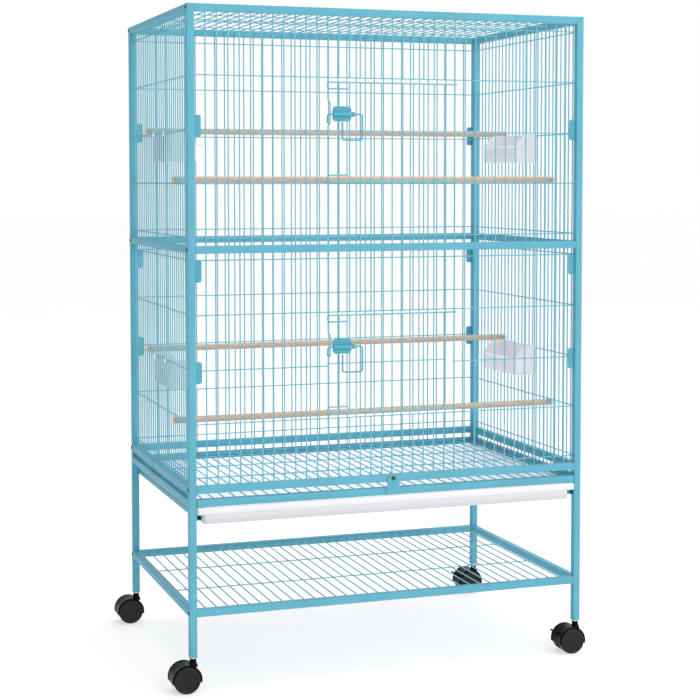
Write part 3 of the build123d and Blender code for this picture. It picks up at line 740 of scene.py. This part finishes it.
def door(level):
    low, high = span(f"{level}_door")
    bar_y = low[1] + SPRING / 2
    wire_y = bar_y + BEHIND_BARS
    bottom, top = low[2] + SPRING / 2, high[2] - SPRING / 2
    free_x = low[0] + SPRING / 2
    hinge_x = UPRIGHT_X[HINGE_WIRE]
    places = UPRIGHT_X[CATCH_WIRE + 1 : HINGE_WIRE]
    middle = bottom + LEVEL_WIRE_UP
    bar_ends = free_x, places[-1] + WIRE / 2
    return [
        wires(*lines((0, wire_y, 0), 2, bottom - PAST_BARS, top + PAST_BARS, 0, places), WIRE),
        wires(*lines((0, wire_y - WELD_OFFSET, 0), 0, *bar_ends, 2, [middle]), CROSS_WIRE),
        hairpin(free_x, hinge_x, bar_y, top, -DROP),
        hairpin(free_x, hinge_x, bar_y, bottom, DROP),
    ]


for level in SPANS:
    piece(f"{level}_door_wires", door(level), wire_coat, f"{level}_door")

# %% [markdown]
# ## Latches
# The latch is one bent wire: a hook that turns over the catch, a rod through the bead of
# the plate, and a handle that hangs by its own weight. The plate is pressed sheet with
# round corners, and its bead is a real tube, open at both ends, that the rod turns in.


# %% Build the latches and their plates
HANDLE_WIDE, HANDLE_END, HOOK_DROP = 39 * MM, 14.5 * MM, 17 * MM
LATCH_BEND = 4.5 * MM


def tube(axis, centre, start, end, outer, inner, count=24):
    """A round tube with both its walls and eased outer edges: six rings joined in a loop."""
    ease = 0.12 * (outer - inner)
    steps = [(inner, start), (outer - ease, start), (outer, start + ease)]
    steps += [(outer, end - ease), (outer - ease, end), (inner, end)]
    rings = [carried(circle(r, count), axis, centre, [reach])[0] for r, reach in steps]
    return stack(rings, closed=True)


def plate(centre, half_z, half_x, faces, corner, ease, steps=7):
    """A flat plate between two heights along Y, with round corners and eased edges."""
    start, end = faces
    rings = []
    for inset, reach in ((ease, start), (0, start + ease), (0, end - ease), (ease, end)):
        outline = rounded_square(half_z - inset, half_x - inset, corner - inset, steps)
        rings.append(carried(outline, 1, centre, [reach])[0])
    return stack(rings)


def latch_wire(level):
    """Hook, rod and handle, bent in one plane; the hook's end is flattened a little."""
    low, high = span(f"{level}_latch")
    y, z = (low[1] + high[1]) / 2, high[2] - SPRING / 2
    hook_x, right_x = low[0] + SPRING / 2, high[0] - SPRING / 2
    left_x, bottom = right_x - HANDLE_WIDE, low[2] + SPRING / 2
    flat = [(hook_x, z - HOOK_DROP), (hook_x, z), (right_x, z)]
    flat += [(right_x, bottom), (left_x, bottom), (left_x, z - HANDLE_END)]
    path = rounded([(x, y, height) for x, height in flat], LATCH_BEND)
    wide = np.full(len(path), SPRING)
    wide[0], wide[-1] = 1.25 * SPRING, 1.1 * SPRING
    return swept(path, (0, 1, 0), wide, 14)


def latch_plate(level):
    """Rounded plate with eased edges, the bead across it and the collar at its end."""
    low, high = span(f"{level}_latch_plate")
    rod_low, rod_high = span(f"{level}_latch")
    z = rod_high[2] - SPRING / 2
    y = (rod_low[1] + rod_high[1]) / 2
    thick, collar, ease = 1.5 * MM, 3.5 * MM, 0.35 * MM
    plate_right = high[0] - collar - 1 * MM
    middle = ((low[0] + plate_right) / 2, 0, (low[2] + high[2]) / 2)
    half_z, half_x = (high[2] - low[2]) / 2, (plate_right - low[0]) / 2
    face = high[1] - thick
    sheet = plate(middle, half_z, half_x, (face, high[1]), 7 * MM, ease, 8)
    bore = SPRING / 2 + 0.35 * MM
    bead = tube(0, (0, y, z), low[0], plate_right + 1 * MM, 3.4 * MM, bore)
    ring = tube(0, (0, y, z), plate_right + 1 * MM, high[0], 4.6 * MM, bore)
    neck_low = np.array([low[0] + 0.5 * MM, y + bore, z - 2.9 * MM])
    neck_high = np.array([plate_right - 0.5 * MM, face + ease, z + 2.9 * MM])
    neck = square_tube(neck_low, neck_high, 0, corner=0.6 * MM)
    return [sheet, bead, ring, neck]


for level in SPANS:
    piece(f"{level}_latch_wire", [latch_wire(level)], fitting_coat, f"{level}_latch")
    piece(f"{level}_latch_sheet", latch_plate(level), fitting_coat, f"{level}_latch_plate")

# %% [markdown]
# ## The grate's lock
# A small bell-shaped plate hangs from one screw over the grate's front bar. Its foot is an
# arc about the screw, which is why it can turn aside without catching on the tray below.


# %% Build the lock plate
def bell(reach, neck, foot, crown, steps=9):
    """Outline of the plate about its screw: an arc of radius reach at the foot, straight
    flares, straight sides, and an arc over the top. The left half mirrors the right."""
    foot_turn = math.asin(foot / reach)
    turn = np.linspace(foot_turn / steps, foot_turn, steps)
    base = np.stack([reach * np.sin(turn), -reach * np.cos(turn)], -1)
    sides = np.array([[neck, -12 * MM], [neck, -2 * MM]])
    sagitta = crown + 2 * MM
    radius = (neck**2 + sagitta**2) / (2 * sagitta)
    centre = crown - radius
    start = math.atan2(-2 * MM - centre, neck)
    turn = np.linspace(start, math.pi / 2, steps + 1)[1:-1]
    top = np.stack([radius * np.cos(turn), centre + radius * np.sin(turn)], -1)
    right = np.concatenate([base, sides, top])
    return np.concatenate([right, (right * [-1, 1])[::-1]])


low, high = span("lock_plate")
screw_x, crown = (low[0] + high[0]) / 2, 8 * MM
screw_z = high[2] - crown
outline = bell(screw_z - low[2], 12 * MM, (high[0] - low[0]) / 2, crown)[::-1, ::-1]
ease = 0.3 * MM
rings = []
for shrink, reach in ((ease, low[1]), (0, low[1] + ease), (0, high[1] - ease), (ease, high[1])):
    inset = outline * (1 - shrink / (14 * MM))
    rings.append(carried(inset, 1, (screw_x, 0, screw_z), [reach])[0])
piece("lock_sheet", [stack(rings)], tube_coat, "lock_plate")

# %% [markdown]
# ## Screws and clips
# Each screw head is a low dome with a socket sunk in it: a profile of radius and height,
# turned about the screw's axis. Clips are short plates that hold the level wires to the
# posts; their outer corners are round.


# %% Turned pieces
def turned(axis, centre, profile, count=24, way=1):
    """A profile of (radius, reach along axis) turned about that axis. The reach grows along
    way, and rings are put in the order that keeps the faces outward."""
    centre = np.asarray(centre, float)
    steps = [(radius, centre[axis] + way * reach) for radius, reach in profile]
    steps = steps if way > 0 else steps[::-1]
    rings = [carried(circle(radius, count), axis, centre, [reach])[0] for radius, reach in steps]
    return stack(rings)


def dome(radius, height):
    """A domed head with a sunk socket: (radius, height) points from its seat to the socket."""
    return [
        (radius, 0), (radius, 0.35 * height), (0.9 * radius, 0.68 * height),
        (0.7 * radius, 0.9 * height), (0.46 * radius, height), (0.4 * radius, 0.96 * height),
        (0.36 * radius, 0.45 * height),
    ]


heads = []
shelf_low = span("shelf_frame")[0][2]
for x, way in ((post_low[0], -1), (far_high[0], 1)):
    for y in (FRONT_Y, BACK_Y):
        for rail in (shelf_low, *rail_heights[1:]):
            middle = (x, y, rail + TUBE / 2)
            heads.append(turned(0, middle, dome(3.5 * MM, 1.8 * MM), 20, way))
piece("frame_screw_heads", heads, bronze, "frame_screws")

low, high = span("lock_screw")
head = turned(1, (screw_x, low[1] + 2.2 * MM, screw_z), dome(4 * MM, 2.2 * MM), 24, -1)
shank = turned(1, (screw_x, high[1], screw_z), [(2 * MM, 0), (2 * MM, 6 * MM)], 20, -1)
piece("lock_screw_head", [head, shank], bronze, "lock_screw")

# %% Build the clips
CLIP_WIDE, CLIP_THICK, CLIP_TALL = 12.5 * MM, 2.0 * MM, 40.0 * MM
TUCK = 2.5 * MM
low, high = span("panel_clips")
heights = middles(np.round(node_points("panel_clips")[:, 2], 4), 1.2 * CLIP_TALL)
clips = []
for inner, way in ((INNER_X[0], 1), (INNER_X[1], -1)):
    x = inner + way * (CLIP_WIDE - TUCK) / 2
    half_x = (CLIP_WIDE + TUCK) / 2
    for face in (low[1], high[1] - CLIP_THICK):
        for z in heights:
            faces = face, face + CLIP_THICK
            clips.append(plate((x, 0, z), CLIP_TALL / 2, half_x, faces, 4.5 * MM, 0.4 * MM))
piece("panel_clip_plates", clips, fitting_coat, "panel_clips")
print(len(heads), "screw heads and", len(clips), "clips")

# %% [markdown]
# ## Perches
# Four softwood dowels pass between the side wires. Their ends are sawn and lightly
# rounded, and the grain of the material runs along them.

# %% Build the perches
for level in SPANS:
    for end in ("front", "back"):
        node = f"{level}_{end}_perch"
        low, high = span(node)
        radius = (high[2] - low[2]) / 2
        edge = 0.9 * MM
        lean = np.array([0.0, 0.35, 0.75, 1.0]) * math.pi / 2
        profile = [(radius - edge * (1 - math.sin(a)), edge * (1 - math.cos(a))) for a in lean]
        length = high[0] - low[0]
        profile += [(r, length - reach) for r, reach in profile[::-1]]
        dowel = turned(0, (low[0], *((low + high) / 2)[1:]), profile, 28)
        piece(f"{node}_dowel", [dowel], perch_wood, node)

# %% [markdown]
# ## Feeders
# A feeder is one thin moulding, open at the top: a ring goes up the outside, over the rim
# and down the inside. What makes it a feeder is the rim's height, which depends on how far
# from the wall a point is: full at the back, then sloping down to a low front lip.


# %% Build the feeders
def long_outline(half_u, half_v, radius, steps=6, along=10):
    """A rounded rectangle with extra points on its straight edges."""
    corners = rounded_square(half_u, half_v, radius, steps).reshape(4, steps, 2)
    share = np.linspace(0, 1, along + 2)[1:-1, None]
    runs = []
    for corner, after in zip(corners, np.roll(corners, -1, 0)):
        runs += [corner, corner[-1] + share * (after[0] - corner[-1])]
    whole = np.concatenate(runs)
    return np.roll(whole, along // 2, 0)


def feeder(node, way):
    """Cup, ledge and hooks of one feeder; way is +1 when it hangs on the left side."""
    low, high = span(node)
    wall_x = (LEFT_X if way > 0 else RIGHT_X) + way * 3.8 * MM
    depth, tall = 51.4 * MM, high[2] - low[2]
    wall, lip, slope = 1.8 * MM, 0.57 * tall, 22 * MM
    half_y = (high[1] - low[1]) / 2
    middle = np.array([wall_x + way * depth / 2, (low[1] + high[1]) / 2, 0])

    def ring(cut, height):
        flat = long_outline(depth / 2 - cut, half_y - cut, 3 * MM)
        away = way * flat[:, 0] + depth / 2
        rim = np.interp(away, [depth - slope, depth], [tall, lip])
        z = low[2] + (rim + height if height <= 0 else np.full(len(flat), height))
        return np.column_stack([flat + middle[:2], z])

    edge = 0.4 * MM
    floor = 1e-6
    rings = [ring(1.2 * MM, floor), ring(0.3 * MM, 0.5 * MM), ring(0, 1.6 * MM), ring(0, -edge)]
    rings += [ring(edge, 0.0), ring(wall - edge, 0.0), ring(wall, -edge), ring(wall, 3 * MM)]
    rings += [ring(wall + 1.2 * MM, wall)]
    front = wall_x + way * depth
    ledge_x = sorted((front - way * 1 * MM, front + way * 10 * MM))
    ledge_low = np.array([ledge_x[0], low[1], low[2] + lip - 2.4 * MM])
    ledge_high = np.array([ledge_x[1], high[1], low[2] + lip])
    parts = [stack(rings), square_tube(ledge_low, ledge_high, 1, corner=0.9 * MM)]
    hook_x = (post_low[0] + 4.3 * MM) if way > 0 else (far_high[0] - 4.3 * MM)
    pitch = SIDE_Y[1] - SIDE_Y[0]
    for k in (11.5, 16.5):
        y = INNER_Y[0] + k * pitch
        arm_x = sorted((hook_x, wall_x + way * wall))
        tip_x = sorted((hook_x, hook_x + way * 1.3 * MM))
        for x, down in ((arm_x, 1.8 * MM), (tip_x, 9 * MM)):
            hook_low = np.array([x[0], y - 4 * MM, high[2] - down])
            hook_high = np.array([x[1], y + 4 * MM, high[2]])
            parts.append(square_tube(hook_low, hook_high, 1, corner=0.5 * MM))
    return parts


for level in SPANS:
    for side, way in (("left", 1), ("right", -1)):
        node = f"{level}_{side}_feeder"
        piece(f"{node}_cup", feeder(node, way), feeder_white, node)

# %% [markdown]
# ## Tray
# The tray is a pan with a wide rim that turns down at its edge and rides on the two
# runners. One profile goes round the whole outline: up the outside of the pan, out under
# the rim, down and round its lip, back over the top and down the inside to the floor.

# %% Build the tray
low, high = span("tray")
runner_top = span("left_runner")[1][2]
runner_in = span("left_runner")[1][0], span("right_runner")[0][0]
RIM, PAN, WALL = 0.0, 1.0, 2.0 * MM
SIDE_GAP, END_GAP = 2.5 * MM, 3.2 * MM
pan_low = np.array([runner_in[0] + SIDE_GAP, low[1] + END_GAP])
pan_high = np.array([runner_in[1] - SIDE_GAP, high[1] - END_GAP])


def tray_ring(share, inset, z, corner):
    """The outline at height z: share 0 is the rim, share 1 the pan, and inset shrinks it."""
    a = low[:2] * (1 - share) + pan_low * share + inset
    b = high[:2] * (1 - share) + pan_high * share - inset
    flat = rounded_square(*((b - a) / 2), corner, 7) + (a + b) / 2
    return np.column_stack([flat, np.full(len(flat), z)])


top, lip_low = high[2], runner_top + 0.3 * MM
pan_floor = low[2]
rings = [
    tray_ring(PAN, 3.0 * MM, pan_floor, 7 * MM),
    tray_ring(PAN, 1.2 * MM, pan_floor + 0.8 * MM, 7 * MM),
    tray_ring(PAN, 0.4 * MM, pan_floor + 3 * MM, 7 * MM),
    tray_ring(PAN, 0, top - WALL, 7 * MM),
    tray_ring(RIM, 1.6 * MM, top - WALL, 5 * MM),
    tray_ring(RIM, 1.6 * MM, lip_low + 0.3 * MM, 5 * MM),
    tray_ring(RIM, 0.8 * MM, lip_low, 5 * MM),
    tray_ring(RIM, 0, lip_low + 0.8 * MM, 5 * MM),
    tray_ring(RIM, 0, top - 2.2 * MM, 5 * MM),
    tray_ring(RIM, 0.6 * MM, top - 0.7 * MM, 5 * MM),
    tray_ring(RIM, 2.0 * MM, top, 5 * MM),
    tray_ring(PAN, WALL - 0.6 * MM, top, 7 * MM),
    tray_ring(PAN, WALL, top - 0.6 * MM, 7 * MM),
    tray_ring(PAN, WALL + 0.6 * MM, pan_floor + WALL + 3 * MM, 6 * MM),
    tray_ring(PAN, WALL + 3.4 * MM, pan_floor + WALL, 6 * MM),
]
tray = piece("tray_moulding", [stack(rings)], tray_white, "tray")
OUTER_RINGS = 12
# The inside attribute marks the rings where the tray's material paints light over the shade in the
# pan.
is_inside = np.repeat(np.arange(len(rings)) >= OUTER_RINGS, len(rings[0])).astype(np.float32)
tray.data.attributes.new("inside", "FLOAT", "POINT").data.foreach_set("value", is_inside)
print("tray has", len(rings), "rings, the last", len(rings) - OUTER_RINGS, "inside")

# %% [markdown]
# ## Casters
# Each caster has two wheels on one axle, a hood over both, a web between them and a neck
# that swivels on the stem. The hood is a cross-section carried round the axle from just
# below it on one side, over the top, to the same height on the other. A thicker edge on
# each side of the hood catches the light the way the real moulding does.

# %% Caster sizes
WHEEL_R = 25 * MM
HOOD_OUT, HOOD_IN, HOOD_HALF = 28 * MM, 25.9 * MM, 20 * MM
DIP = math.asin(6 / 28)


def round_axle(outline, angles, x, y, z):
    """An outline of (distance from the axle, along the axle) carried through angles that
    are measured from +X up towards +Z."""
    out = np.stack([np.cos(angles), np.zeros(len(angles)), np.sin(angles)], -1)
    rings = outline[None, :, :1] * out[:, None] + outline[None, :, 1:] * AXES[1]
    return stack(rings + np.array([x, y, z]))


def hood_section():
    """Anticlockwise section of the hood: a thin shell with a raised bead at both edges."""
    half, bead = HOOD_HALF, 3.2 * MM
    outer_y = np.array([1, 0.985, 0.93, 0.86, 0.8, 0.4, 0, -0.4, -0.8, -0.86, -0.93, -0.985, -1])
    outer_y = outer_y * half
    near = np.clip((half - np.abs(outer_y)) / bead, 0, 1.4)
    raised = 0.75 * MM * (1 - np.clip(near - 0.6, 0, 0.8) / 0.8)
    outer_r = HOOD_OUT - 0.75 * MM + raised - 0.5 * MM * (near < 0.05)
    inner_y = np.array([-1, -0.98, -0.9, -0.6, -0.3, 0, 0.3, 0.6, 0.9, 0.98, 1])[1:-1] * half
    inner_r = np.full(len(inner_y), HOOD_IN)
    section = np.column_stack([np.r_[outer_r, inner_r], np.r_[outer_y, inner_y]])
    return section[::-1]


def housing(end, side):
    """Hood, web and neck of one caster, and the middle of its axle."""
    wheel_low, wheel_high = span(f"{end}_{side}_wheels")
    x, z = (wheel_low[0] + wheel_high[0]) / 2, wheel_low[2] + WHEEL_R
    y = (wheel_low[1] + wheel_high[1]) / 2
    stem_x = span(f"{end}_{side}_post")[0][0] + TUBE / 2
    sweep = np.linspace(-DIP, math.pi + DIP, 49)
    section = hood_section()
    web = rounded_square(11.2 * MM, 4 * MM, 0.8 * MM, 3) + [14.6 * MM, 0]
    neck = [
        (9.2 * MM, 45 * MM), (8.0 * MM, 49 * MM), (6.6 * MM, 52.5 * MM), (6.0 * MM, 55.5 * MM),
        (6.1 * MM, 57.5 * MM), (6.5 * MM, 58.8 * MM), (6.5 * MM, 59.4 * MM), (6.1 * MM, 59.7 * MM),
    ]
    parts = [round_axle(section, sweep, x, y, z), round_axle(web, sweep, x, y, z)]
    parts.append(turned(2, (stem_x, y, 0), neck, 28))
    return parts, (x, y, z)


print("hood section has", len(hood_section()), "points")


# %% [markdown]
# A wheel is a profile turned about the axle: a flat tread, a rounded shoulder, a crisp rim
# and a shallow dished face that rises again to a hub in the middle.

# %% Build the casters
WHEEL_PROFILE = [
    (2.6, 6.0), (22.6, 6.0), (24.2, 6.6), (25.0, 8.2), (25.0, 14.0), (25.0, 19.2), (24.75, 20.4),
    (24.1, 21.4), (23.2, 22.1), (22.2, 22.5), (21.5, 22.4), (20.7, 21.9), (18.0, 21.55),
    (12.0, 21.4), (6.0, 21.6), (2.0, 21.75), (0.6, 21.75),
]
BRAKE_ANGLE = math.radians(150)


def paddle(length, half_wide, thick):
    """Rings of a brake lever that starts at its pivot: it thins and rounds off at the tip."""
    reach = np.array([-1.6, -1.0, 2.0, 6.0, 9.0, 11.0, 12.2, 12.8, 13.0]) / 13 * length
    tip = np.clip((reach / length - 0.72) / 0.28, 0, 1)
    width = half_wide * np.sqrt(1 - 0.75 * tip**2)
    height = thick / 2 * np.sqrt(1 - 0.85 * tip**4)
    height[0] *= 0.6
    return reach, width, height


def brake_lever(x, y, z):
    """The foot lever with its barrel and pin, tilted up and back from the axle, and the two
    ears of the housing that hold the pin."""
    out = np.array([math.cos(BRAKE_ANGLE), 0, math.sin(BRAKE_ANGLE)])
    across = np.array([-out[2], 0, out[0]])
    pivot = np.array([x, y, z]) + out * 30.7 * MM
    rings = []
    for reach, width, height in zip(*paddle(13 * MM, 5 * MM, 3.8 * MM)):
        flat = rounded_square(width, height, min(height, width) * 0.8, 4)
        rings.append(pivot + out * reach + flat[:, :1] * AXES[1] + flat[:, 1:] * across)
    barrel = turned(1, pivot - [0, 5 * MM, 0], [(2.2 * MM, 0), (2.2 * MM, 10 * MM)], 16)
    pin = turned(1, pivot - [0, 7.4 * MM, 0], [(1 * MM, 0), (1 * MM, 14.8 * MM)], 12)
    flat = rounded_square(2.2 * MM, 2.7 * MM, 1.0 * MM, 4)
    section = pivot - out * 1.2 * MM + flat[:, :1] * across + flat[:, 1:] * out
    ears = []
    for start, end in ((-7.4 * MM, -5.4 * MM), (5.4 * MM, 7.4 * MM)):
        ears.append(stack([section + AXES[1] * start, section + AXES[1] * end]))
    return [stack(rings), barrel, pin], ears


for end in ("front", "back"):
    for side in ("left", "right"):
        node = f"{end}_{side}_caster"
        parts, (x, y, z) = housing(end, side)
        if side == "right":
            lever, ears = brake_lever(x, y, z)
            parts += ears
            piece(f"{end}_{side}_brake_lever", lever, caster_black, f"{end}_{side}_brake")
        piece(f"{node}_housing", parts, caster_black, node)
        profile = [(radius * MM, reach * MM) for radius, reach in WHEEL_PROFILE]
        pair = [turned(1, (x, y, z), profile, 64, way) for way in (-1, 1)]
        pair.append(turned(1, (x, y - 6 * MM, z), [(2.5 * MM, 0), (2.5 * MM, 12 * MM)], 20))
        piece(f"{end}_{side}_wheel_pair", pair, wheel_black, f"{end}_{side}_wheels")

# %% [markdown]
# A short steel stem comes down from each post. All that shows of it is the bright flange
# between the foot of the post and the neck of the caster.

# %% Build the stems
STEM_PROFILE = [
    (3.4, 50.2), (3.8, 50.8), (3.8, 59.9), (6.2, 60.0), (6.5, 60.3), (6.5, 61.7), (6.2, 62.0),
    (4.0, 62.0), (4.0, 62.6),
]
stems = []
for side in ("left", "right"):
    for end in ("front", "back"):
        low, high = span(f"{end}_{side}_post")
        middle = (low + high) / 2
        profile = [(radius * MM, reach * MM) for radius, reach in STEM_PROFILE]
        stems.append(turned(2, (middle[0], middle[1], 0), profile, 28))
piece("caster_stem_flanges", stems, zinc, "caster_stems")

# %% [markdown]
# ## Floor, light and camera
# The floor is one pale sheet with a faint grain. It glows a little, so that it stays white
# out to the horizon without throwing too much light back up. A white world and two large
# soft panels light the cage: one stands in front and to the right, the other hangs above,
# and the world is dimmer towards the left, so the left sides of the tubes are darker.


# %% Floor
def make_floor():
    """A wide level sheet at the height of the wheels' lowest points."""
    floor = Finish("pale_floor", Specular_IOR_Level=0.1, Emission_Strength=0.56)
    floor.shader.inputs["Emission Color"].default_value = (1, 1, 1, 1)
    floor.colour(floor.between(floor.noise(0.8, 3.0), (0.49, 0.49, 0.49), (0.51, 0.51, 0.51)))
    floor.gloss(floor.between(floor.noise(0.1), 0.7, 0.85))
    reach = 40.0
    across = np.linspace(-reach, reach, 9)
    grid = np.stack(np.meshgrid(across, across, indexing="ij"), -1).reshape(-1, 2)
    points = np.column_stack([grid, np.full(len(grid), cad_low[2])])
    here = (np.arange(8)[:, None] * 9 + np.arange(8)).ravel()
    faces = np.stack([here, here + 9, here + 10, here + 1], -1)
    mesh = bpy.data.meshes.new("studio_floor")
    mesh.from_pydata(points.tolist(), [], faces.tolist())
    mesh.materials.append(floor.material)
    sheet = bpy.data.objects.new("studio_floor", mesh)
    bpy.context.scene.collection.objects.link(sheet)


make_floor()


# %% Light
def panel_light(name, place, aim, size, watts):
    """A square soft light at place, turned towards aim."""
    light = bpy.data.lights.new(name, "AREA")
    light.shape, light.size, light.energy = "SQUARE", size, watts
    lamp = bpy.data.objects.new(name, light)
    lamp.location = place
    lamp.rotation_euler = (Vector(aim) - Vector(place)).to_track_quat("-Z", "Y").to_euler()
    bpy.context.scene.collection.objects.link(lamp)


def studio_world(bright, dim):
    """White all round, but dimmer towards -X, as when a grey flag stands on that side."""
    world = bpy.data.worlds.new("studio_white")
    world.use_nodes = True
    nodes, links = world.node_tree.nodes, world.node_tree.links
    direction = nodes.new("ShaderNodeTexCoord").outputs["Generated"]
    split = nodes.new("ShaderNodeSeparateXYZ")
    ramp = nodes.new("ShaderNodeMapRange")
    ramp.interpolation_type = "SMOOTHSTEP"
    values = {"From Min": -0.45, "From Max": 0.10, "To Min": dim, "To Max": bright}
    for socket, value in values.items():
        ramp.inputs[socket].default_value = value
    links.new(direction, split.inputs["Vector"])
    links.new(split.outputs["X"], ramp.inputs["Value"])
    links.new(ramp.outputs["Result"], nodes["Background"].inputs["Strength"])
    nodes["Background"].inputs["Color"].default_value = (1, 1, 1, 1)
    bpy.context.scene.world = world


studio_world(1.0, 0.50)
panel_light("key_panel", (1.6, -4.2, 2.6), (0, 0, 0.6), 2.6, 60)
panel_light("top_panel", (0.4, 0.2, 4.2), (0, 0, 0.6), 3.0, 70)
bpy.context.scene.view_settings.view_transform = "Standard"

# %% [markdown]
# The camera stands about three metres in front of the cage and well to its left, three
# quarters of the way up, turned towards the middle of the front. It is tilted down by only
# three degrees, and a lens shift brings the wheels into the frame, so that the posts stay
# very nearly upright in the picture, as they do through a shift lens.

# %% Camera
camera = bpy.data.cameras.new("camera")
camera.lens, camera.sensor_width = 84.57533, 36.0
camera.shift_x, camera.shift_y = -0.00836, -0.12
eye = bpy.data.objects.new("camera", camera)
eye.location = (-1.07304, -3.14835, 0.93413)
eye.rotation_euler = (math.pi / 2 - 0.05275, 0.00014, -0.33738)
bpy.context.scene.collection.objects.link(eye)
bpy.context.scene.camera = eye
